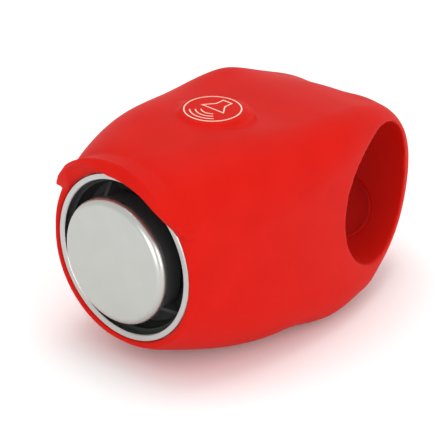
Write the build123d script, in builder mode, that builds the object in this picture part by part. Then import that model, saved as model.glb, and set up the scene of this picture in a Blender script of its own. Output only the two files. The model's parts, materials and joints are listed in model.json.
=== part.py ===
from build123d import *
from math import cos, radians, sin
import os

# Electronic bicycle bell: a sounder module in a silicone sleeve that loops round the handlebar.
# The frame: origin on the handlebar's axis, +X along the bar, +Y rearwards, +Z up, in millimetres.
# A "station" is a distance behind the bezel's front face, measured along +Y.

# Cutters run past the face that they cut by this much
overrun = 1.0

# Handlebar loop and sleeve
bar_diameter = 25.4
bar_station = 48.5
lip_station = -0.2
lip_back = 0.65
lip_radius = 16.2
lip_flat = 0.7
loop_start = 33.0
loop_end = 63.5
loop_roundness = 2.2
loop_front_half_width = 19.7
loop_back_half_width = 10.2
loop_top = 18.0
loop_bottom = 20.1
loop_centre_z = -0.6
loop_corner = 7.8
loop_corner_loss = 0.75
loop_corner_limit = 0.8
loop_taper = 1.5
loop_angles = (0, 18, 34, 48, 60, 70, 79, 85)
recess_radius = 7.6
recess_depth = 0.4
recess_angle = -65

# Brow over the sounder
brow_reach = -2.6
brow_inner = 16.9
brow_outer = 18.2
brow_bevel = 1.1
brow_root = 2.2
brow_tip_height = 13.9
brow_end_height = 8.8
brow_end_station = -0.3

# Housing
neck_radius = 15.6
neck_inner = 14.25
neck_front = 1.5
box_front = 8.0
box_back = 31.4
box_half = 16.8
box_corner = 10.5
wall = 1.5
box_inner = box_half - wall
module_back = 33.8
fit_gap = 0.05

# Sounder stack
cap_radius = 11.5
cap_front = -2.8
cap_back = -0.9
cap_wall = 0.6
cap_edge = 1.3
bezel_inner = 14.15
bezel_face = 15.35
bezel_step = 0.7
bezel_edge = 0.15
spoke_angles = (-16, 121, 232)
spoke_width = 0.8
spoke_outer = 14.0
bowl_floor = 4.0
bowl_back = 7.5
gasket_back = 8.2
plate_back = 8.5
ceramic_back = 8.75
clamp_back = 10.0
stack_radius = 14.2

# Key and switch
key_station = 22.6
key_radius = 6.3
key_gap = 0.3
key_top = 20.4
key_edge = 0.6
key_underside = 17.6
key_post_radius = 2.2
key_post_bottom = 15.25
switch_width = 6.0
switch_top = 14.6
plunger_radius = 1.7
plunger_top = 15.2
plunger_bottom = 13.9
plunger_fit = 0.06
plunger_edge = 0.2
switch_well = 13.2
chip_station = 16.5
chip_size = (5.0, 4.0, 1.5)
transistor_x = 5.0
transistor_station = 18.5
transistor_size = (3.0, 1.5, 1.1)
component_bevel = 1 / 8
coil_x = -5.2
coil_station = 18.1
coil_height = 5.0
coil_flange = 0.8
coil_flange_radius = 3.2
coil_core_radius = 1.7
coil_winding_radius = 2.9
reservoir_x = 4.6
reservoir_station = 17.0
reservoir_radius = 2.3
reservoir_height = 7.0
reservoir_edge = 0.4

# Carrier, bowl and piezo stack
carrier_back = 2.3
carrier_ring_inner = 13.5
carrier_ring_depth = 1.0
bowl_throat = 7.0
bowl_waist = 12.9
gasket_inner = 10.5
plate_radius = 13.9
ceramic_radius = 10.0
clamp_inner = 12.0
lead_x = 2.0
lead_z = 4.0
lead_station = 12.5
lead_radius = 0.4
lead_bend = 1.6

# Circuit board
board_top = 11.5
board_bottom = 10.3
board_half_width = 8.8
board_corner = 1.0
board_front = 11.0
board_back = 30.0
board_screw_x = 6.5
board_screw_stations = (13.5, 28.5)
post_radius = 2.0
board_screw_radius = 0.75
board_screw_grip = 3.0
board_screw_head = 0.9
board_screw_head_radius = 1.5

# Battery
cell_radius = 10.0
cell_thickness = 3.2
cell_z = -3.2
cell_front = 23.4
tray_front = 21.6
tray_floor = 1.0
tray_back = 30.6
tray_inner = 10.15
tray_outer = 11.5
foot_width = 8.0
battery_lead_x = 3.0
battery_lead_z = 2.0
battery_lead_station = 19.6
contact_half_width = 1.6
contact_reach = 8.0
contact_bend = 2.0
contact_sheet = 0.3
strip_half_width = 2.0
strip_front_station = 20.6
strip_tab_station = 29.85
strip_tab_reach = 8.0

# Rear cover and battery door
cover_front = 31.8
cover_screw_x = 11.6
cover_screw_z = 11.3
boss_radius = 2.2
boss_front = 24.0
screw_radius = 0.85
screw_head_radius = 1.7
screw_head = 0.9
door_station = 30.9
door_back = 33.7
door_flange_station = 33.15
door_flange_radius = 11.3
door_radius = 10.85
door_seat = 32.9
door_seal_back = 33.1
lug_reach = 11.6
lug_width = 4.2
driver_slot = 2.0
driver_width = 0.5
lug_front = 30.9
lug_back = 31.6
door_gap = 0.2
door_turn = 60
notch_width = 5.2
screw_grip = 6.0
slot_length = 12.0
slot_width = 1.6
slot_depth = 1.2

front_y = -bar_station
os.makedirs("parts", exist_ok=True)


def at_station(station, x=0, z=0):
    """Plane across the body that faces rearwards, so that a positive extrusion runs towards the back."""
    return Plane(origin=(x, front_y + station, z), x_dir=(-1, 0, 0), z_dir=(0, 1, 0))


def save(part, name):
    """Label a finished piece and write it as its own STEP file."""
    part.label = name
    export_step(part, f"parts/{name}.step")


def ring(station, depth, outer, inner, z=0):
    """Plain ring on the sounder's or the battery's axis."""
    with BuildPart() as made:
        with BuildSketch(at_station(station, z=z)):
            Circle(outer)
            Circle(inner, mode=Mode.SUBTRACT)
        extrude(amount=depth)
    return made.part


def disc(station, depth, radius, z=0):
    """Plain disc on the sounder's or the battery's axis."""
    with BuildPart() as made:
        with BuildSketch(at_station(station, z=z)):
            Circle(radius)
        extrude(amount=depth)
    return made.part


def loop_section(angle):
    """Station, half-width, top, bottom and corner radius of the loop, as its side view rounds off."""
    reach = sin(radians(angle)) ** (2 / loop_roundness)
    height = cos(radians(angle)) ** (2 / loop_roundness)
    station = loop_start + (loop_end - loop_start) * reach
    half_width = loop_front_half_width - (loop_front_half_width - loop_back_half_width) * reach**loop_taper
    top = loop_centre_z + (loop_top - loop_centre_z) * height
    bottom = loop_centre_z - (loop_bottom + loop_centre_z) * height
    corner = min(loop_corner * (1 - loop_corner_loss * reach), loop_corner_limit * (top - bottom) / 2)
    return station, half_width, top, -bottom, corner


# Each barrel section: station, half-width, top, bottom, corner radius. It goes from round to square.
barrel_sections = [
    (lip_station, lip_radius, lip_radius, lip_radius, lip_radius - lip_flat),
    (2.5, 17.2, 18.4, 17.4, 15.8),
    (5.5, 17.9, 19.0, 18.0, 14.7),
    (10.0, 18.8, 19.4, 18.8, 13.3),
    (20.0, 20.0, 19.5, 20.1, 11.8),
]
sleeve_sections = barrel_sections + [loop_section(angle) for angle in loop_angles]

# The brow flares out from the sounder's rim. Its side view slopes back to the lip at both ends.
with BuildPart() as brow:
    with BuildSketch(Plane(origin=(0, front_y, 0), x_dir=(1, 0, 0), z_dir=(0, 0, 1))):
        with BuildLine():
            Polyline(
                (bezel_face + fit_gap, lip_station),
                (brow_inner, brow_reach),
                (brow_outer, brow_reach + brow_bevel),
                (brow_outer, brow_root),
                (neck_radius + fit_gap, brow_root),
                close=True,
            )
        make_face()
    revolve(axis=Axis.Y)
    with BuildSketch(Plane.YZ):
        with BuildLine():
            Polyline(
                (front_y + brow_reach, brow_tip_height),
                (front_y + brow_end_station, brow_end_height),
                (front_y + brow_root, brow_end_height),
                (front_y + brow_root, brow_outer + overrun),
                (front_y + brow_reach, brow_outer + overrun),
                close=True,
            )
        make_face()
    extrude(amount=brow_outer + overrun, both=True, mode=Mode.INTERSECT)

# A shallow round recess is moulded into the loop's wall, below and behind the bar.
recess_out = Vector(0, cos(radians(recess_angle)), sin(radians(recess_angle)))

with BuildPart() as recess:
    with BuildSketch(Plane(origin=(0, 0, 0), x_dir=(1, 0, 0), z_dir=recess_out)):
        Circle(recess_radius)
    extrude(amount=bar_diameter)
    with BuildSketch(Plane.YZ):
        Circle(bar_diameter / 2 + recess_depth)
    extrude(amount=recess_radius + overrun, both=True, mode=Mode.INTERSECT)

with BuildPart() as sleeve:
    for station, half_width, top, bottom, corner in sleeve_sections:
        with BuildSketch(at_station(station, z=(top - bottom) / 2)):
            RectangleRounded(2 * half_width, top + bottom, corner)
    loft()
    add(brow.part)
    with BuildSketch(Plane.YZ):
        Circle(bar_diameter / 2)
    extrude(amount=loop_front_half_width + overrun, both=True, mode=Mode.SUBTRACT)
    add(recess.part, mode=Mode.SUBTRACT)
    with BuildSketch(at_station(lip_station)):
        Circle(bezel_face + fit_gap)
    extrude(amount=lip_back - lip_station, mode=Mode.SUBTRACT)
    with BuildSketch(at_station(lip_back)):
        Circle(neck_radius + fit_gap)
    extrude(amount=box_front - lip_back, mode=Mode.SUBTRACT)
    with BuildSketch(at_station(box_front - fit_gap)):
        RectangleRounded(2 * (box_half + fit_gap), 2 * (box_half + fit_gap), box_corner + fit_gap)
    extrude(amount=module_back - box_front + 2 * fit_gap, mode=Mode.SUBTRACT)
    with BuildSketch(Plane(origin=(0, front_y + key_station, 0))):
        Circle(key_radius + key_gap)
    extrude(amount=key_top + overrun, mode=Mode.SUBTRACT)
save(sleeve.part, "silicone_sleeve")

with BuildPart() as button_pad:
    with BuildSketch(Plane(origin=(0, front_y + key_station, key_underside))):
        Circle(key_radius)
    extrude(amount=key_top - key_underside)
    fillet(button_pad.edges().sort_by(Axis.Z)[-1], radius=key_edge)
    with BuildSketch(Plane(origin=(0, front_y + key_station, key_post_bottom))):
        Circle(key_post_radius)
    extrude(amount=key_underside - key_post_bottom)
save(button_pad.part, "button_pad")

# Sounder: a shallow pressed metal cap on a three-spoked carrier, in a bowl behind the bezel.
with BuildPart() as cap:
    with BuildSketch(at_station(cap_front)):
        Circle(cap_radius)
    extrude(amount=cap_back - cap_front)
    fillet(cap.edges().sort_by(Axis.Y)[0], radius=cap_edge)
    offset(amount=-cap_wall, openings=cap.faces().sort_by(Axis.Y)[-1])
save(cap.part, "sounder_cap")

# Each spoke is a thin gusset whose crest slopes back from the cap to the carrier's ring.
with BuildPart() as carrier:
    with BuildSketch(at_station(cap_front + cap_edge)):
        Circle(cap_radius - cap_wall - fit_gap)
    extrude(amount=cap_back - cap_front - cap_edge)
    with BuildSketch(at_station(cap_back)):
        Circle(cap_radius)
    extrude(amount=carrier_back - cap_back)
    for spoke_angle in spoke_angles:
        angle = radians(spoke_angle)
        outward = (sin(angle), 0, cos(angle))
        across = (-cos(angle), 0, sin(angle))
        with BuildSketch(Plane(origin=(0, front_y, 0), x_dir=outward, z_dir=across)):
            with BuildLine():
                Polyline(
                    (cap_radius - cap_wall, cap_back),
                    (cap_radius, cap_back),
                    (spoke_outer, neck_front),
                    (spoke_outer, carrier_back),
                    (cap_radius - cap_wall, carrier_back),
                    close=True,
                )
            make_face()
        extrude(amount=spoke_width / 2, both=True)
    with BuildSketch(at_station(neck_front)):
        Circle(stack_radius)
        Circle(carrier_ring_inner, mode=Mode.SUBTRACT)
    extrude(amount=carrier_ring_depth)
save(carrier.part, "cap_carrier")

with BuildPart() as bezel:
    with BuildSketch(at_station(0)):
        Circle(bezel_face)
    extrude(amount=neck_front)
    with BuildSketch(at_station(bezel_step)):
        Circle(neck_radius)
    extrude(amount=neck_front - bezel_step)
    with BuildSketch(at_station(0)):
        Circle(bezel_inner)
    extrude(amount=neck_front, mode=Mode.SUBTRACT)
    chamfer(bezel.faces().sort_by(Axis.Y)[0].edges(), length=bezel_edge)
save(bezel.part, "bezel_ring")

# The bowl is turned about the sounder's axis from its half section: radius across, station along.
with BuildPart() as bowl:
    with BuildSketch(Plane(origin=(0, front_y, 0), x_dir=(1, 0, 0), z_dir=(0, 0, 1))):
        with BuildLine():
            Polyline(
                (stack_radius, neck_front + carrier_ring_depth),
                (stack_radius, bowl_back),
                (bowl_throat, bowl_back),
                (bowl_throat, bowl_floor),
                (bowl_waist, bowl_floor),
                (carrier_ring_inner, neck_front + carrier_ring_depth),
                close=True,
            )
        make_face()
    revolve(axis=Axis.Y)
save(bowl.part, "horn_bowl")

save(ring(bowl_back, gasket_back - bowl_back, stack_radius, gasket_inner), "horn_gasket")
save(disc(gasket_back, plate_back - gasket_back, plate_radius), "piezo_plate")
save(disc(plate_back, ceramic_back - plate_back, ceramic_radius), "piezo_ceramic")
save(ring(plate_back, clamp_back - plate_back, stack_radius, clamp_inner), "piezo_clamp_ring")

with BuildPart() as piezo_leads:
    for x in (-lead_x, lead_x):
        start = (x, front_y + ceramic_back, lead_z)
        bend = (x, front_y + lead_station, lead_z)
        end = (x, front_y + lead_station, board_bottom)
        with BuildLine() as route:
            FilletPolyline(start, bend, end, radius=lead_bend)
        with BuildSketch(at_station(ceramic_back, x, lead_z)):
            Circle(lead_radius)
        sweep(path=route.line)
save(piezo_leads.part, "piezo_leads")

# Housing: a round neck that holds the sounder, and a rounded square box for the works.
with BuildPart() as housing:
    with BuildSketch(at_station(neck_front)):
        Circle(neck_radius)
    extrude(amount=box_front - neck_front)
    with BuildSketch(at_station(box_front)):
        RectangleRounded(2 * box_half, 2 * box_half, box_corner)
    extrude(amount=box_back - box_front)
    with BuildSketch(at_station(neck_front)):
        Circle(neck_inner)
    extrude(amount=box_front + wall - neck_front, mode=Mode.SUBTRACT)
    with BuildSketch(at_station(box_front + wall)):
        RectangleRounded(2 * box_inner, 2 * box_inner, box_corner - wall)
    extrude(amount=box_back - box_front - wall, mode=Mode.SUBTRACT)
    with BuildSketch(Plane(origin=(0, front_y + key_station, 0))):
        Circle(key_post_radius + key_gap)
    extrude(amount=box_half + overrun, mode=Mode.SUBTRACT)
    for station in board_screw_stations:
        with BuildSketch(Plane(origin=(0, front_y + station, board_top))):
            with GridLocations(2 * board_screw_x, 0, 2, 1):
                Circle(post_radius)
        extrude(amount=box_half - wall / 2 - board_top)
        with BuildSketch(Plane(origin=(0, front_y + station, board_top))):
            with GridLocations(2 * board_screw_x, 0, 2, 1):
                Circle(board_screw_radius)
        extrude(amount=board_screw_grip, mode=Mode.SUBTRACT)
    with BuildSketch(at_station(boss_front)):
        with GridLocations(2 * cover_screw_x, 2 * cover_screw_z, 2, 2):
            Circle(boss_radius)
    extrude(amount=box_back - boss_front)
    with BuildSketch(at_station(box_back - screw_grip)):
        with GridLocations(2 * cover_screw_x, 2 * cover_screw_z, 2, 2):
            Circle(screw_radius)
    extrude(amount=screw_grip, mode=Mode.SUBTRACT)
save(housing.part, "housing")

with BuildPart() as cover_gasket:
    with BuildSketch(at_station(box_back)):
        RectangleRounded(2 * box_half, 2 * box_half, box_corner)
        RectangleRounded(2 * box_inner, 2 * box_inner, box_corner - wall, mode=Mode.SUBTRACT)
    extrude(amount=cover_front - box_back)
save(cover_gasket.part, "cover_gasket")

# The door's two lugs pass the cover through notches, then turn behind its face to lock.
with BuildPart() as cover:
    with BuildSketch(at_station(cover_front)):
        RectangleRounded(2 * box_half, 2 * box_half, box_corner)
    extrude(amount=module_back - cover_front)
    with BuildSketch(at_station(cover_front, z=cell_z)):
        Circle(door_radius + door_gap)
        with PolarLocations(0, 2, start_angle=door_turn):
            Rectangle(2 * (lug_reach + door_gap), notch_width, align=(Align.CENTER, Align.CENTER))
    extrude(amount=module_back - cover_front, mode=Mode.SUBTRACT)
    with BuildSketch(at_station(door_seat, z=cell_z)):
        Circle(door_flange_radius + door_gap)
    extrude(amount=module_back - door_seat, mode=Mode.SUBTRACT)
    with BuildSketch(at_station(cover_front)):
        with GridLocations(2 * cover_screw_x, 2 * cover_screw_z, 2, 2):
            Circle(screw_radius + 2 * fit_gap)
    extrude(amount=module_back - cover_front, mode=Mode.SUBTRACT)
    with BuildSketch(at_station(module_back - screw_head - fit_gap)):
        with GridLocations(2 * cover_screw_x, 2 * cover_screw_z, 2, 2):
            Circle(screw_head_radius + 2 * fit_gap)
    extrude(amount=screw_head + fit_gap, mode=Mode.SUBTRACT)
save(cover.part, "rear_cover")

with BuildPart() as cover_screws:
    with BuildSketch(at_station(box_back - screw_grip)):
        with GridLocations(2 * cover_screw_x, 2 * cover_screw_z, 2, 2):
            Circle(screw_radius)
    extrude(amount=module_back - screw_head - fit_gap - box_back + screw_grip)
    with BuildSketch(at_station(module_back - screw_head - fit_gap)):
        with GridLocations(2 * cover_screw_x, 2 * cover_screw_z, 2, 2):
            Circle(screw_head_radius)
    extrude(amount=screw_head)
    with BuildSketch(at_station(module_back - fit_gap)):
        with GridLocations(2 * cover_screw_x, 2 * cover_screw_z, 2, 2):
            Rectangle(driver_slot, driver_width)
            Rectangle(driver_width, driver_slot)
    extrude(amount=-screw_head / 2, mode=Mode.SUBTRACT)
save(cover_screws.part, "cover_screws")

with BuildPart() as door:
    with BuildSketch(at_station(door_station, z=cell_z)):
        Circle(door_radius)
    extrude(amount=door_back - door_station)
    with BuildSketch(at_station(door_flange_station, z=cell_z)):
        Circle(door_flange_radius)
    extrude(amount=door_back - door_flange_station)
    with BuildSketch(at_station(lug_front, z=cell_z)):
        Rectangle(2 * lug_reach, lug_width)
    extrude(amount=lug_back - lug_front)
    with BuildSketch(at_station(door_back, z=cell_z)):
        SlotOverall(slot_length, slot_width)
    extrude(amount=-slot_depth, mode=Mode.SUBTRACT)
save(door.part, "battery_door")

door_seal_depth = door_seal_back - door_seat
save(ring(door_seat, door_seal_depth, door_flange_radius, door_radius + door_gap, cell_z), "door_seal")

# Battery: two coin cells in a round tray, with one contact in front and one over the top.
with BuildPart() as tray:
    with BuildSketch(at_station(tray_front, z=cell_z)):
        Circle(tray_outer)
    extrude(amount=tray_back - tray_front)
    foot_height = box_inner + cell_z
    with BuildSketch(at_station(tray_front, z=cell_z - foot_height / 2)):
        Rectangle(foot_width, foot_height)
    extrude(amount=tray_back - tray_front)
    with BuildSketch(at_station(tray_front + tray_floor, z=cell_z)):
        Circle(tray_inner)
    extrude(amount=tray_back - tray_front, mode=Mode.SUBTRACT)
    with BuildSketch(at_station(tray_front, battery_lead_x, battery_lead_z)):
        Circle(lead_radius + fit_gap)
    extrude(amount=tray_floor, mode=Mode.SUBTRACT)
    with BuildSketch(at_station(strip_tab_station - fit_gap, z=cell_z + tray_outer)):
        Rectangle(2 * (strip_half_width + fit_gap), tray_outer)
    extrude(amount=tray_back - strip_tab_station + fit_gap, mode=Mode.SUBTRACT)
save(tray.part, "battery_tray")

save(disc(cell_front, cell_thickness, cell_radius, cell_z), "front_cell")
save(disc(cell_front + cell_thickness, cell_thickness, cell_radius, cell_z), "rear_cell")

# The front contact is a plate with a tongue that is bent back against the front cell.
with BuildPart() as positive_contact:
    contact_station = front_y + tray_front + tray_floor
    with BuildSketch(Plane.YZ.offset(-contact_half_width)):
        with BuildLine():
            Polyline(
                (contact_station, cell_z - contact_reach),
                (contact_station, cell_z + contact_reach),
                (front_y + cell_front, cell_z + contact_bend),
                (front_y + cell_front, cell_z),
                (contact_station + contact_sheet, cell_z - contact_bend),
                (contact_station + contact_sheet, cell_z - contact_reach),
                close=True,
            )
        make_face()
    extrude(amount=2 * contact_half_width)
save(positive_contact.part, "positive_contact")

# The top contact runs over the tray, up to the board in front and down behind the rear cell.
with BuildPart() as negative_contact:
    strip_front = front_y + strip_front_station
    strip_back = front_y + strip_tab_station + contact_sheet
    strip_low = cell_z + tray_outer + fit_gap
    with BuildSketch(Plane.YZ.offset(-strip_half_width)):
        with BuildLine():
            Polyline(
                (strip_front, board_bottom),
                (strip_front, strip_low),
                (strip_back - contact_sheet, strip_low),
                (strip_back - contact_sheet, cell_z + strip_tab_reach),
                (strip_back, cell_z + strip_tab_reach),
                (strip_back, strip_low + contact_sheet),
                (strip_front + contact_sheet, strip_low + contact_sheet),
                (strip_front + contact_sheet, board_bottom),
                close=True,
            )
        make_face()
    extrude(amount=2 * strip_half_width)
save(negative_contact.part, "negative_contact")

with BuildPart() as battery_lead:
    start = (battery_lead_x, front_y + tray_front + tray_floor, battery_lead_z)
    bend = (battery_lead_x, front_y + battery_lead_station, battery_lead_z)
    end = (battery_lead_x, front_y + battery_lead_station, board_bottom)
    with BuildLine() as route:
        FilletPolyline(start, bend, end, radius=lead_bend)
    with BuildSketch(Plane(origin=start, z_dir=(0, -1, 0))):
        Circle(lead_radius)
    sweep(path=route.line)
save(battery_lead.part, "battery_lead")

# Circuit board, hung under the housing's roof, with the key switch on top.
board_length = board_back - board_front
board_middle = front_y + (board_front + board_back) / 2

with BuildPart() as board:
    with BuildSketch(Plane(origin=(0, board_middle, board_bottom))):
        RectangleRounded(2 * board_half_width, board_length, board_corner)
    extrude(amount=board_top - board_bottom)
    for station in board_screw_stations:
        with BuildSketch(Plane(origin=(0, front_y + station, board_bottom))):
            with GridLocations(2 * board_screw_x, 0, 2, 1):
                Circle(board_screw_radius + fit_gap)
        extrude(amount=board_top - board_bottom, mode=Mode.SUBTRACT)
save(board.part, "circuit_board")

with BuildPart() as board_screws:
    for station in board_screw_stations:
        with BuildSketch(Plane(origin=(0, front_y + station, board_bottom - board_screw_head))):
            with GridLocations(2 * board_screw_x, 0, 2, 1):
                Circle(board_screw_head_radius)
        extrude(amount=board_screw_head)
        with BuildSketch(Plane(origin=(0, front_y + station, board_bottom))):
            with GridLocations(2 * board_screw_x, 0, 2, 1):
                Circle(board_screw_radius)
        extrude(amount=board_top - board_bottom + board_screw_grip)
save(board_screws.part, "board_screws")


def component(x, station, size):
    """Rectangular electronic component that stands on the board."""
    width, depth, height = size
    with BuildPart() as made:
        with BuildSketch(Plane(origin=(x, front_y + station, board_top))):
            Rectangle(width, depth)
        extrude(amount=height)
        chamfer(made.edges().group_by(Axis.Z)[-1], length=height * component_bevel)
    return made.part


save(component(0, chip_station, chip_size), "sound_chip")
save(component(transistor_x, transistor_station, transistor_size), "driver_transistor")

coil_y = front_y + coil_station
coil_low = board_bottom - coil_height

with BuildPart() as coil_core:
    for flange_low in (coil_low, board_bottom - coil_flange):
        with BuildSketch(Plane(origin=(coil_x, coil_y, flange_low))):
            Circle(coil_flange_radius)
        extrude(amount=coil_flange)
    with BuildSketch(Plane(origin=(coil_x, coil_y, coil_low))):
        Circle(coil_core_radius)
    extrude(amount=coil_height)
save(coil_core.part, "coil_core")

with BuildPart() as coil_winding:
    with BuildSketch(Plane(origin=(coil_x, coil_y, coil_low + coil_flange))):
        Circle(coil_winding_radius)
        Circle(coil_core_radius, mode=Mode.SUBTRACT)
    extrude(amount=coil_height - 2 * coil_flange)
save(coil_winding.part, "coil_winding")

with BuildPart() as reservoir:
    with BuildSketch(Plane(origin=(reservoir_x, front_y + reservoir_station, board_bottom))):
        Circle(reservoir_radius)
    extrude(amount=-reservoir_height)
    fillet(reservoir.edges().sort_by(Axis.Z)[0], radius=reservoir_edge)
save(reservoir.part, "reservoir_capacitor")

with BuildPart() as switch_body:
    with BuildSketch(Plane(origin=(0, front_y + key_station, board_top))):
        Rectangle(switch_width, switch_width)
    extrude(amount=switch_top - board_top)
    with BuildSketch(Plane(origin=(0, front_y + key_station, switch_well))):
        Circle(plunger_radius + plunger_fit)
    extrude(amount=switch_top - switch_well, mode=Mode.SUBTRACT)
save(switch_body.part, "switch_body")

with BuildPart() as plunger:
    with BuildSketch(Plane(origin=(0, front_y + key_station, plunger_bottom))):
        Circle(plunger_radius)
    extrude(amount=plunger_top - plunger_bottom)
    fillet(plunger.edges().sort_by(Axis.Z)[-1], radius=plunger_edge)
save(plunger.part, "switch_plunger")
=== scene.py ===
"""Electronic bicycle bell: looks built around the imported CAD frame. Lengths are in metres."""

import json
import math

import bmesh
import bpy
import numpy as np
from mathutils import Matrix, Vector
from mathutils.bvhtree import BVHTree


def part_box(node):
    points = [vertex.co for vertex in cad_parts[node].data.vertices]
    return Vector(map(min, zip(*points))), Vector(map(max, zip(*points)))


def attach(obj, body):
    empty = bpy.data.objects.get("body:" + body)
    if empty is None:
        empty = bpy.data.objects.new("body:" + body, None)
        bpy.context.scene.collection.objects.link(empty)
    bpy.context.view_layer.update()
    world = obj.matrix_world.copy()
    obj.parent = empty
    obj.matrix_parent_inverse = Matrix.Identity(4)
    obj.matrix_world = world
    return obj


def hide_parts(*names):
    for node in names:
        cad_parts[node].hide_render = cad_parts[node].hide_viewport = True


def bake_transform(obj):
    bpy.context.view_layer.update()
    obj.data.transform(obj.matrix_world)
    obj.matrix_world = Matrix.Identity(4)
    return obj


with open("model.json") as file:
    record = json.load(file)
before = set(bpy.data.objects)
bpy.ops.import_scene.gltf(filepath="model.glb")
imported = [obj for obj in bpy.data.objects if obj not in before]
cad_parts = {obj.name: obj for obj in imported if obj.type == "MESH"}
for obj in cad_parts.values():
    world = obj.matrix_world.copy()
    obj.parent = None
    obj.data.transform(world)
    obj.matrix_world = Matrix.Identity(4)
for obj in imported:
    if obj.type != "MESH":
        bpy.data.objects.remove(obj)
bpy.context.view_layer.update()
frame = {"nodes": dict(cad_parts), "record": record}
nodes = frame["nodes"]

MM = 0.001

# Places read from the frame
FRONT_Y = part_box("bezel_ring")[0].y
key_low, key_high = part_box("button_pad")
KEY_Y = (key_low.y + key_high.y) / 2
KEY_TOP = key_high.z
SLEEVE_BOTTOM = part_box("silicone_sleeve")[0].z
HOUSING_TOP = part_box("housing")[1].z

# Camera
VIEW_AZIMUTH = math.radians(42.84)
VIEW_ELEVATION = math.radians(26.76)
VIEW_DISTANCE = 700 * MM
AIM_ACROSS = 17.23 * MM
AIM_HEIGHT = 7.73 * MM
LENS = 330.75
SENSOR = 36.0
NEAR_CLIP = 50 * MM

# Studio: floor, surroundings, and soft square lights by name, place in metres, power in watts and colour
WORLD_STRENGTH = 0.95
FLOOR_SIZE = 6
FLOOR_GAP = 0.2 * MM
FLOOR_GREY = 0.93
FLOOR_ROUGHNESS = 0.9
LIGHT_SIZE = 0.35
LIGHTS = (
    ("front_light", (0.25, -0.6, 0.12), 1.2, (1, 1, 1)),
    ("side_light", (0.6, 0.0, 0.14), 0.95, (1, 1, 1)),
    ("top_light", (-0.05, 0.05, 0.6), 1.2, (1, 0.97, 0.94)),
)

# Sleeve mesh, and the cut between it and the key's skin
VOXEL = 0.28 * MM
WELD = 0.001 * MM
SMOOTH_FACTOR = 0.5
SMOOTH_PASSES = 5
SKIN_RADIUS = 8.6 * MM
SKIN_FLOOR = HOUSING_TOP - 1 * MM

# Key: its turned profile from the face down to the root, and the soft sides round it
BODY_TOP_AT_KEY = 19.5 * MM
KEY_FACE_RADIUS = 5.3 * MM
KEY_EDGE_RADIUS = 5.8 * MM
KEY_EDGE_DROP = 0.15 * MM
KEY_SIDE_RADIUS = 6.2 * MM
KEY_SIDE_DROP = 0.6 * MM
KEY_BASE_RADIUS = 6.6 * MM
KEY_FOOT_RADIUS = 7.4 * MM
KEY_FOOT_DROP = 0.12 * MM
KEY_ROOT_Z = HOUSING_TOP + 0.1 * MM
KEY_FLATS = 0.012
KEY_SIDES = 8
KEY_TURNS = 96

# Ink on the key: a horn sign of plain proportions that faces the front, with its waves
INK_WIDTH = 0.24 * MM
SIGN_RADIUS = 5.0 * MM
HORN_MOUTH = 2.5 * MM
HORN_THROAT = 1.0 * MM
HORN_LENGTH = 2.0 * MM
HORN_BOX = 1.8 * MM
WAVE_COUNT = 3
WAVE_FIRST = 2.0 * MM
WAVE_STEP = 1.0 * MM
WAVE_SPREAD = 45
INK_LIFT = 0.02 * MM
SHARPEST_MITRE = 0.5
RAY_HEIGHT = 2 * MM
CIRCLE_STEPS = 96

# Brow over the sounder: its section, its flared far end, its near end that rolls in, and its crease
BROW_FRONT = -2.6 * MM
BROW_ROOT = 1.5 * MM
BROW_INNER = 16.9 * MM
BROW_OUTER = 18.2 * MM
FLARE_INNER = 1.1 * MM
FLARE_OUTER = 0.4 * MM
DROOP = 0.7 * MM
CREASE_STATION = -1.5 * MM
CREASE_WIDTH = 0.45 * MM
CREASE_HEIGHT = 0.25 * MM
CREASE_FROM = 0.6
BROW_INNER_FROM = 15.7 * MM
BROW_INNER_FULL = 16.5 * MM
ROLL_BACK = 4 * MM

# Where each of these rises and fades round the sounder, in degrees from the top, far side negative
FLARE_RISE = (-2, -36)
FLARE_FADE = (-38, -56)
ROLL_RISE = (5, 45)
ROLL_FADE = (70, 85)
DROOP_RISE = (-20, 0)
DROOP_FADE = (45, 65)
CREASE_RISE = (-46, -40)
CREASE_FADE = (0, 25)
ROLL_DEPTH = 0.6 * MM

# Bead round the blind disc on the bore's rear wall, below the bar
BORE_RADIUS = 12.7 * MM
DISC_ANGLE = math.radians(-65)
DISC_RADIUS = 7.6 * MM
BEAD_RADIUS = 0.18 * MM
BEAD_TURNS = 96
BEAD_SIDES = 8

# The swells below leave the bore's wall alone and reach their full lift this far outside it
SWELL_FROM = BORE_RADIUS + 0.2 * MM
SWELL_FULL = BORE_RADIUS + 1.2 * MM

# Soft swells and dents of the moulded skin, in millimetres: across, back from the front, up, reach and lift
SWELLS = (
    (-12, 50, 15, 6, -0.8),
    (-7, 55, 12, 4, -0.5),
    (7, 55, 13, 4, 0.6),
    (-15, 42, 17, 4, 0.4),
    (15, 26, -18, 4, 0.5),
    (15, 35, -18, 4, -0.3),
    (16, 46, -16, 3, -0.6),
)


# ---------------------------------------------------------------- camera, floor and light


def add_camera():
    """Camera at the bell's three-quarter view from the front, the right and above."""
    to_camera = Vector((
        math.sin(VIEW_AZIMUTH) * math.cos(VIEW_ELEVATION),
        -math.cos(VIEW_AZIMUTH) * math.cos(VIEW_ELEVATION),
        math.sin(VIEW_ELEVATION),
    ))
    across = Vector((math.cos(VIEW_AZIMUTH), math.sin(VIEW_AZIMUTH), 0))
    aim = Vector((0, FRONT_Y, AIM_HEIGHT)) + AIM_ACROSS * across
    data = bpy.data.cameras.new("camera")
    data.sensor_width = SENSOR
    data.lens = LENS
    data.clip_start = NEAR_CLIP
    camera = bpy.data.objects.new("camera", data)
    bpy.context.scene.collection.objects.link(camera)
    camera.location = aim + VIEW_DISTANCE * to_camera
    camera.rotation_euler = to_camera.to_track_quat("Z", "Y").to_euler()
    bpy.context.scene.camera = camera


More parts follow.
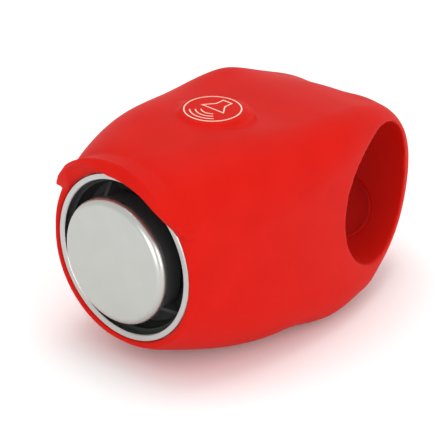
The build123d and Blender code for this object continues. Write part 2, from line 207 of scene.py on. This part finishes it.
def add_area_light(name, place, target, power, colour):
    """Square soft light that faces its target."""
    data = bpy.data.lights.new(name, "AREA")
    data.shape = "SQUARE"
    data.size = LIGHT_SIZE
    data.energy = power
    data.color = colour
    light = bpy.data.objects.new(name, data)
    bpy.context.scene.collection.objects.link(light)
    light.location = place
    light.rotation_euler = (Vector(place) - Vector(target)).to_track_quat("Z", "Y").to_euler()


def add_studio():
    """Plain pale floor, even white surroundings and soft lights, shown with plain colour."""
    bpy.context.scene.view_settings.view_transform = "Standard"
    world = bpy.data.worlds.new("studio")
    bpy.context.scene.world = world
    world.use_nodes = True
    background = world.node_tree.nodes["Background"]
    background.inputs["Color"].default_value = (1, 1, 1, 1)
    background.inputs["Strength"].default_value = WORLD_STRENGTH
    bpy.ops.mesh.primitive_plane_add(size=FLOOR_SIZE, location=(0, 0, SLEEVE_BOTTOM - FLOOR_GAP))
    floor = bpy.context.object
    floor.name = "floor"
    floor.data.materials.append(plain_material("floor_white", (FLOOR_GREY,) * 3, FLOOR_ROUGHNESS))
    centre = (0, FRONT_Y / 2, 0)
    for name, place, power, colour in LIGHTS:
        add_area_light(name, place, centre, power, colour)


# ---------------------------------------------------------------- materials


def new_material(name):
    """Material with its Principled shader and its node tree."""
    material = bpy.data.materials.new(name)
    material.use_nodes = True
    tree = material.node_tree
    return material, tree, tree.nodes["Principled BSDF"]


def plain_material(name, colour, roughness):
    """Even material, for the stage only."""
    material, tree, shader = new_material(name)
    shader.inputs["Base Color"].default_value = (*colour, 1)
    shader.inputs["Roughness"].default_value = roughness
    return material


def node(tree, kind, **settings):
    """Adds a shader node and sets its properties and its unconnected inputs."""
    made = tree.nodes.new(kind)
    for name, value in settings.items():
        if name in made.inputs:
            made.inputs[name].default_value = value
        else:
            setattr(made, name, value)
    return made


def noise(tree, scale, detail=4.0, stretch=(1, 1, 1)):
    """Noise in object space, in cycles per metre, stretched along an axis if asked."""
    place = node(tree, "ShaderNodeTexCoord")
    mapping = node(tree, "ShaderNodeMapping", Scale=stretch)
    texture = node(tree, "ShaderNodeTexNoise", Scale=scale, Detail=detail)
    tree.links.new(place.outputs["Object"], mapping.inputs["Vector"])
    tree.links.new(mapping.outputs["Vector"], texture.inputs["Vector"])
    return texture.outputs["Fac"]


def blend_colours(tree, factor, low, high, start=0.35, end=0.65):
    """Colour ramp between two colours."""
    ramp = node(tree, "ShaderNodeValToRGB")
    ramp.color_ramp.elements[0].position = start
    ramp.color_ramp.elements[0].color = (*low, 1)
    ramp.color_ramp.elements[1].position = end
    ramp.color_ramp.elements[1].color = (*high, 1)
    tree.links.new(factor, ramp.inputs["Fac"])
    return ramp.outputs["Color"]


def spread(tree, factor, low, high):
    """Maps a 0 to 1 factor on to a range."""
    mapped = node(tree, "ShaderNodeMapRange")
    mapped.inputs["To Min"].default_value = low
    mapped.inputs["To Max"].default_value = high
    tree.links.new(factor, mapped.inputs["Value"])
    return mapped.outputs["Result"]


def add_bump(tree, shader, height, strength, distance):
    """Bump from a height, with its depth in metres."""
    bump = node(tree, "ShaderNodeBump", Strength=strength, Distance=distance)
    tree.links.new(height, bump.inputs["Height"])
    tree.links.new(bump.outputs["Normal"], shader.inputs["Normal"])


def moulded_material(name, low, high, roughness, grain=9000, depth=0.02 * MM):
    """Moulded plastic or rubber: slight colour drift, matt to satin grain and a fine bump."""
    material, tree, shader = new_material(name)
    drift = noise(tree, 160)
    fine = noise(tree, grain, 3.0)
    tree.links.new(blend_colours(tree, drift, low, high), shader.inputs["Base Color"])
    tree.links.new(spread(tree, fine, roughness - 0.05, roughness + 0.07), shader.inputs["Roughness"])
    add_bump(tree, shader, fine, 0.25, depth)
    return material


def silicone_material():
    """Satin red silicone with a soft glow under the surface and a faint mould texture."""
    low = (0.505, 0.0046, 0.0011)
    high = (0.53, 0.006, 0.0018)
    material = moulded_material("red_silicone", low, high, 0.56, 5200, 0.03 * MM)
    shader = material.node_tree.nodes["Principled BSDF"]
    shader.inputs["IOR"].default_value = 1.38
    shader.inputs["Specular IOR Level"].default_value = 0.14
    shader.inputs["Subsurface Weight"].default_value = 0.10
    shader.inputs["Subsurface Radius"].default_value = (1.0, 0.10, 0.05)
    shader.inputs["Subsurface Scale"].default_value = 1.0 * MM
    return material


def metal_material(name, low, high, roughness, stretch, scale=2600, depth=0.006 * MM):
    """Brushed or turned metal: fine streaks along one axis in colour, gloss and bump."""
    material, tree, shader = new_material(name)
    streaks = noise(tree, scale, 5.0, stretch)
    cloud = noise(tree, 220, 2.0)
    tree.links.new(blend_colours(tree, cloud, low, high), shader.inputs["Base Color"])
    tree.links.new(spread(tree, streaks, roughness - 0.05, roughness + 0.08), shader.inputs["Roughness"])
    shader.inputs["Metallic"].default_value = 1.0
    add_bump(tree, shader, streaks, 0.2, depth)
    return material


def board_material():
    """Green solder resist with paler copper traces under it."""
    material, tree, shader = new_material("board_green")
    place = node(tree, "ShaderNodeTexCoord")
    bricks = node(tree, "ShaderNodeTexBrick", Scale=700.0)
    bricks.inputs["Mortar Size"].default_value = 0.08
    bricks.inputs["Color1"].default_value = (0.01, 0.10, 0.035, 1)
    bricks.inputs["Color2"].default_value = (0.012, 0.13, 0.045, 1)
    bricks.inputs["Mortar"].default_value = (0.05, 0.26, 0.10, 1)
    tree.links.new(place.outputs["Object"], bricks.inputs["Vector"])
    tree.links.new(bricks.outputs["Color"], shader.inputs["Base Color"])
    shader.inputs["Roughness"].default_value = 0.32
    add_bump(tree, shader, bricks.outputs["Fac"], 0.3, 0.03 * MM)
    return material


def print_material():
    """Off-white ink with a slightly broken surface."""
    return moulded_material("white_ink", (0.88, 0.46, 0.36), (0.95, 0.58, 0.47), 0.6, 14000, 0.01 * MM)


MATERIALS = {
    "sleeve_silicone": silicone_material(),
    "cap_aluminium": metal_material(
        "cap_satin", (0.47, 0.48, 0.455), (0.485, 0.495, 0.47),
        0.30, (1, 1, 0.06),
    ),
    "bezel_metal": metal_material("bezel_satin", (0.47, 0.47, 0.455), (0.50, 0.50, 0.485), 0.30, (1, 1, 1)),
    "black_plastic": moulded_material("black_moulding", (0.008, 0.009, 0.009), (0.011, 0.013, 0.013), 0.75),
    "black_foam": moulded_material(
        "black_foam", (0.012, 0.012, 0.012), (0.03, 0.03, 0.03),
        0.9, 3500, 0.12 * MM,
    ),
    "brass_plate": metal_material("rolled_brass", (0.60, 0.40, 0.14), (0.70, 0.50, 0.20), 0.30, (0.05, 1, 1)),
    "ceramic": moulded_material("silvered_ceramic", (0.62, 0.61, 0.57), (0.74, 0.73, 0.69), 0.4, 7000),
    "wire_sheath": moulded_material("wire_sheath", (0.40, 0.02, 0.015), (0.50, 0.03, 0.02), 0.4),
    "housing_plastic": moulded_material(
        "housing_black", (0.014, 0.014, 0.015), (0.024, 0.024, 0.026),
        0.5, 4200, 0.05 * MM,
    ),
    "steel": metal_material("zinc_plate", (0.50, 0.50, 0.53), (0.60, 0.60, 0.63), 0.35, (1, 1, 1)),
    "tray_plastic": moulded_material("tray_grey", (0.03, 0.03, 0.034), (0.045, 0.045, 0.05), 0.5),
    "cell_steel": metal_material("nickel_can", (0.58, 0.58, 0.59), (0.68, 0.68, 0.69), 0.28, (0.1, 1, 1)),
    "contact_metal": metal_material("nickel_strip", (0.60, 0.57, 0.50), (0.68, 0.65, 0.58), 0.3, (1, 0.1, 1)),
    "board": board_material(),
    "component_black": moulded_material("epoxy_black", (0.012, 0.012, 0.012), (0.02, 0.02, 0.02), 0.55, 6000),
    "ferrite": moulded_material("ferrite", (0.03, 0.03, 0.032), (0.06, 0.06, 0.062), 0.7, 3000, 0.06 * MM),
    "copper": metal_material(
        "copper_wire", (0.45, 0.14, 0.05), (0.60, 0.22, 0.09),
        0.35, (0.05, 0.05, 1), 9000, 0.05 * MM,
    ),
    "capacitor_sleeve": moulded_material("capacitor_sleeve", (0.010, 0.014, 0.05), (0.016, 0.022, 0.07), 0.3),
    "switch_key": moulded_material("switch_key", (0.55, 0.50, 0.42), (0.62, 0.57, 0.48), 0.45),
}


def finish_cad_nodes():
    """Gives every CAD node the material of its slot."""
    slots = {row["node"]: row["material_slot"] for row in frame["record"]["subparts"]}
    for name, piece in nodes.items():
        piece.data.materials.clear()
        piece.data.materials.append(MATERIALS[slots[name]])


# ---------------------------------------------------------------- sleeve and key


def link_mesh(name, mesh):
    """New object on the scene for a mesh."""
    piece = bpy.data.objects.new(name, mesh)
    bpy.context.scene.collection.objects.link(piece)
    return piece


def coordinates(mesh):
    """A mesh's vertices as an array."""
    points = np.empty(len(mesh.vertices) * 3)
    mesh.vertices.foreach_get("co", points)
    return points.reshape(-1, 3)


def set_coordinates(mesh, points):
    """Writes an array back to a mesh's vertices."""
    mesh.vertices.foreach_set("co", points.ravel())
    mesh.update()


def key_solid():
    """The raised key as a turned solid: a flat top, a sloping side with soft flats, and a spread foot."""
    profile = [
        (0.0, KEY_TOP),
        (KEY_FACE_RADIUS, KEY_TOP),
        (KEY_EDGE_RADIUS, KEY_TOP - KEY_EDGE_DROP),
        (KEY_SIDE_RADIUS, KEY_TOP - KEY_SIDE_DROP),
        (KEY_BASE_RADIUS, BODY_TOP_AT_KEY),
        (KEY_FOOT_RADIUS, BODY_TOP_AT_KEY - KEY_FOOT_DROP),
        (KEY_FOOT_RADIUS, KEY_ROOT_Z),
        (0.0, KEY_ROOT_Z),
    ]
    made = bmesh.new()
    rings = []
    for radius, height in profile:
        if radius == 0.0:
            rings.append([made.verts.new((0, KEY_Y, height))])
            continue
        row = []
        for step in range(KEY_TURNS):
            angle = math.tau * step / KEY_TURNS
            flat = radius * (1 + KEY_FLATS * math.cos(KEY_SIDES * angle))
            row.append(made.verts.new((flat * math.cos(angle), KEY_Y + flat * math.sin(angle), height)))
        rings.append(row)
    for lower, upper in zip(rings, rings[1:]):
        for step in range(KEY_TURNS):
            after = (step + 1) % KEY_TURNS
            below = [lower[step % len(lower)], lower[after % len(lower)]]
            above = [upper[after % len(upper)], upper[step % len(upper)]]
            made.faces.new(list(dict.fromkeys(below + above)))
    bmesh.ops.recalc_face_normals(made, faces=made.faces)
    mesh = bpy.data.meshes.new("key_solid")
    made.to_mesh(mesh)
    made.free()
    return mesh


def remeshed_sleeve():
    """The sleeve and the key's skin as one even fine mesh, as the silicone is moulded in one piece."""
    made = bmesh.new()
    made.from_mesh(nodes["silicone_sleeve"].data)
    made.from_mesh(key_solid())
    bmesh.ops.remove_doubles(made, verts=made.verts, dist=WELD)
    mesh = bpy.data.meshes.new("sleeve_mesh")
    made.to_mesh(mesh)
    made.free()
    piece = link_mesh("sleeve_work", mesh)
    enlarge = Matrix.Scale(1 / MM, 4)
    piece.data.transform(enlarge)
    remesh = piece.modifiers.new("remesh", "REMESH")
    remesh.mode = "VOXEL"
    remesh.voxel_size = VOXEL / MM
    smooth = piece.modifiers.new("smooth", "SMOOTH")
    smooth.factor = SMOOTH_FACTOR
    smooth.iterations = SMOOTH_PASSES
    bpy.context.view_layer.update()
    ready = piece.evaluated_get(bpy.context.evaluated_depsgraph_get())
    result = bpy.data.meshes.new_from_object(ready)
    result.transform(enlarge.inverted())
    bpy.data.objects.remove(piece)
    return result


def smoothstep(value, start, end):
    """Smooth rise from 0 at start to 1 at end, where end may be below start."""
    part = np.clip((value - start) / (end - start), 0, 1)
    return part * part * (3 - 2 * part)


def sculpt_brow(points):
    """Flares the brow's far end, rolls and droops its near end, and raises a crease along its edge."""
    x, y, z = points.T
    station = y - FRONT_Y
    radius = np.hypot(x, z)
    angle = np.degrees(np.arctan2(x, z))
    forward = smoothstep(station, BROW_ROOT, BROW_FRONT)
    on_brow = smoothstep(radius, BROW_INNER_FROM, BROW_INNER_FULL)
    outer_part = np.clip((radius - BROW_INNER) / (BROW_OUTER - BROW_INNER), 0, 1)
    flare = smoothstep(angle, *FLARE_RISE) * (1 - smoothstep(angle, *FLARE_FADE)) * forward * on_brow
    change = flare * (FLARE_INNER + (FLARE_OUTER - FLARE_INNER) * outer_part)
    roll = smoothstep(angle, *ROLL_RISE) * (1 - smoothstep(angle, *ROLL_FADE))
    change -= roll * smoothstep(station, ROLL_BACK, BROW_FRONT) * ROLL_DEPTH * outer_part
    droop = smoothstep(angle, *DROOP_RISE) * (1 - smoothstep(angle, *DROOP_FADE))
    change -= droop * forward * on_brow * DROOP * (1 - outer_part)
    crease = smoothstep(angle, *CREASE_RISE) * (1 - smoothstep(angle, *CREASE_FADE))
    crease *= smoothstep(outer_part, CREASE_FROM, 1)
    change += CREASE_HEIGHT * crease * np.exp(-((station - CREASE_STATION) / CREASE_WIDTH) ** 2)
    scale = (radius + change) / radius
    points[:, 0] *= scale
    points[:, 2] *= scale


def sculpt_swells(points):
    """Lifts or sinks the outer skin softly, and leaves the bore's wall alone."""
    outside = smoothstep(np.hypot(points[:, 1], points[:, 2]), SWELL_FROM, SWELL_FULL)
    for across, back, up, reach, lift in SWELLS:
        centre = np.array((across * MM, FRONT_Y + back * MM, up * MM))
        away = np.linalg.norm(points - centre, axis=1) / (reach * MM)
        points[:, 2] += lift * MM * np.exp(-away * away) * outside


def build_sleeve():
    """Sleeve piece and key skin piece, cut apart on a circle round the key."""
    whole = remeshed_sleeve()
    points = coordinates(whole)
    sculpt_brow(points)
    sculpt_swells(points)
    set_coordinates(whole, points)
    made = bmesh.new()
    made.from_mesh(whole)
    near_key = [
        face for face in made.faces
        if face.calc_center_median().z > SKIN_FLOOR
        and math.hypot(face.calc_center_median().x, face.calc_center_median().y - KEY_Y) < SKIN_RADIUS
    ]
    skin = made.copy()
    indices = {face.index for face in near_key}
    bmesh.ops.delete(skin, geom=[face for face in skin.faces if face.index not in indices], context="FACES")
    bmesh.ops.delete(made, geom=near_key, context="FACES")
    pieces = []
    for name, part in (("sleeve_skin", made), ("key_skin", skin)):
        rim = [edge for edge in part.edges if edge.is_boundary]
        for edge in rim:
            edge.smooth = False
        bmesh.ops.bridge_loops(part, edges=rim)
        bmesh.ops.recalc_face_normals(part, faces=part.faces)
        mesh = bpy.data.meshes.new(name)
        part.to_mesh(mesh)
        part.free()
        mesh.shade_smooth()
        mesh.materials.append(MATERIALS["sleeve_silicone"])
        pieces.append(link_mesh(name, mesh))
    return pieces


# ---------------------------------------------------------------- bead on the bore's wall


def build_bead():
    """Thin moulded bead along the blind disc's edge, where a round plug meets the bore's curved wall."""
    out = Vector((0, math.cos(DISC_ANGLE), math.sin(DISC_ANGLE)))
    side = Vector((0, -math.sin(DISC_ANGLE), math.cos(DISC_ANGLE)))
    middle = []
    for step in range(BEAD_TURNS):
        angle = math.tau * step / BEAD_TURNS
        along = DISC_RADIUS * math.sin(angle)
        depth = math.sqrt(BORE_RADIUS ** 2 - along ** 2)
        middle.append(out * depth + side * along + Vector((DISC_RADIUS * math.cos(angle), 0, 0)))
    made = bmesh.new()
    rings = []
    for step, point in enumerate(middle):
        tangent = (middle[(step + 1) % BEAD_TURNS] - middle[step - 1]).normalized()
        first = out.cross(tangent).normalized()
        second = tangent.cross(first)
        rings.append([
            made.verts.new(point + BEAD_RADIUS * (math.cos(turn) * first + math.sin(turn) * second))
            for turn in (math.tau * part / BEAD_SIDES for part in range(BEAD_SIDES))
        ])
    for step, ring in enumerate(rings):
        after = rings[(step + 1) % BEAD_TURNS]
        for part in range(BEAD_SIDES):
            beyond = (part + 1) % BEAD_SIDES
            made.faces.new((ring[part], ring[beyond], after[beyond], after[part]))
    bmesh.ops.recalc_face_normals(made, faces=made.faces)
    mesh = bpy.data.meshes.new("bore_bead")
    made.to_mesh(mesh)
    made.free()
    mesh.shade_smooth()
    mesh.materials.append(MATERIALS["sleeve_silicone"])
    return link_mesh("bore_bead", mesh)


# ---------------------------------------------------------------- print on the key


def ribbon(points, closed=False):
    """Flat strip of ink along a line on the key's top, as a list of left and right points."""
    count = len(points)
    sides = []
    for step, point in enumerate(points):
        before = points[step - 1] if closed or step else point
        after = points[(step + 1) % count] if closed or step < count - 1 else point
        into = (Vector(point) - Vector(before)).normalized()
        out = (Vector(after) - Vector(point)).normalized()
        along = (into + out).normalized()
        normal = Vector((-along.y, along.x))
        turn = into if into.length else out
        stretch = 1 / max(abs(along.dot(turn)), SHARPEST_MITRE)
        reach = normal * INK_WIDTH / 2 * stretch
        sides.append((Vector(point) - reach, Vector(point) + reach))
    return sides


def arc(radius, start, end, steps=32):
    """Points along an arc round the key's middle, in degrees."""
    angles = [math.radians(start + (end - start) * step / steps) for step in range(steps + 1)]
    return [(radius * math.cos(angle), radius * math.sin(angle)) for angle in angles]


def build_print(skin):
    """Generic horn sign in a circle: thin ink strips laid on the key's top."""
    throat_side = [(HORN_MOUTH, 0), (HORN_THROAT, HORN_LENGTH), (HORN_THROAT, HORN_LENGTH + HORN_BOX)]
    horn = throat_side + [(-across, along) for across, along in reversed(throat_side)]
    lines = [(arc(SIGN_RADIUS, 0, 360, steps=CIRCLE_STEPS)[:-1], True), (horn, True)]
    for wave in range(WAVE_COUNT):
        lines.append((arc(WAVE_FIRST + wave * WAVE_STEP, -90 - WAVE_SPREAD, -90 + WAVE_SPREAD), False))
    skin_tree = BVHTree.FromObject(skin, bpy.context.evaluated_depsgraph_get())
    made = bmesh.new()
    for points, closed in lines:
        strips = ribbon(points, closed)
        layers = []
        for lift in (INK_LIFT, -INK_LIFT):
            row = []
            for left, right in strips:
                corners = []
                for side in (left, right):
                    above = Vector((side.x, KEY_Y + side.y, KEY_TOP + RAY_HEIGHT))
                    hit = skin_tree.ray_cast(above, Vector((0, 0, -1)))[0]
                    corners.append(made.verts.new(hit + Vector((0, 0, lift))))
                row.append(corners)
            layers.append(row)
        top, bottom = layers
        count = len(strips)
        for step in range(count if closed else count - 1):
            after = (step + 1) % count
            made.faces.new((top[step][0], top[after][0], top[after][1], top[step][1]))
            made.faces.new((bottom[step][1], bottom[after][1], bottom[after][0], bottom[step][0]))
            made.faces.new((bottom[step][0], bottom[after][0], top[after][0], top[step][0]))
            made.faces.new((top[step][1], top[after][1], bottom[after][1], bottom[step][1]))
        if not closed:
            made.faces.new((bottom[0][1], bottom[0][0], top[0][0], top[0][1]))
            made.faces.new((bottom[-1][0], bottom[-1][1], top[-1][1], top[-1][0]))
    bmesh.ops.recalc_face_normals(made, faces=made.faces)
    mesh = bpy.data.meshes.new("key_print")
    made.to_mesh(mesh)
    made.free()
    mesh.materials.append(print_material())
    return link_mesh("key_print", mesh)


add_camera()
add_studio()
finish_cad_nodes()
sleeve, key_skin = build_sleeve()
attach(sleeve, "module")
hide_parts("silicone_sleeve")
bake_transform(key_skin)
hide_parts("button_pad")
bore_bead = build_bead()
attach(bore_bead, "module")
key_print = build_print(key_skin)
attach(key_print, "key")
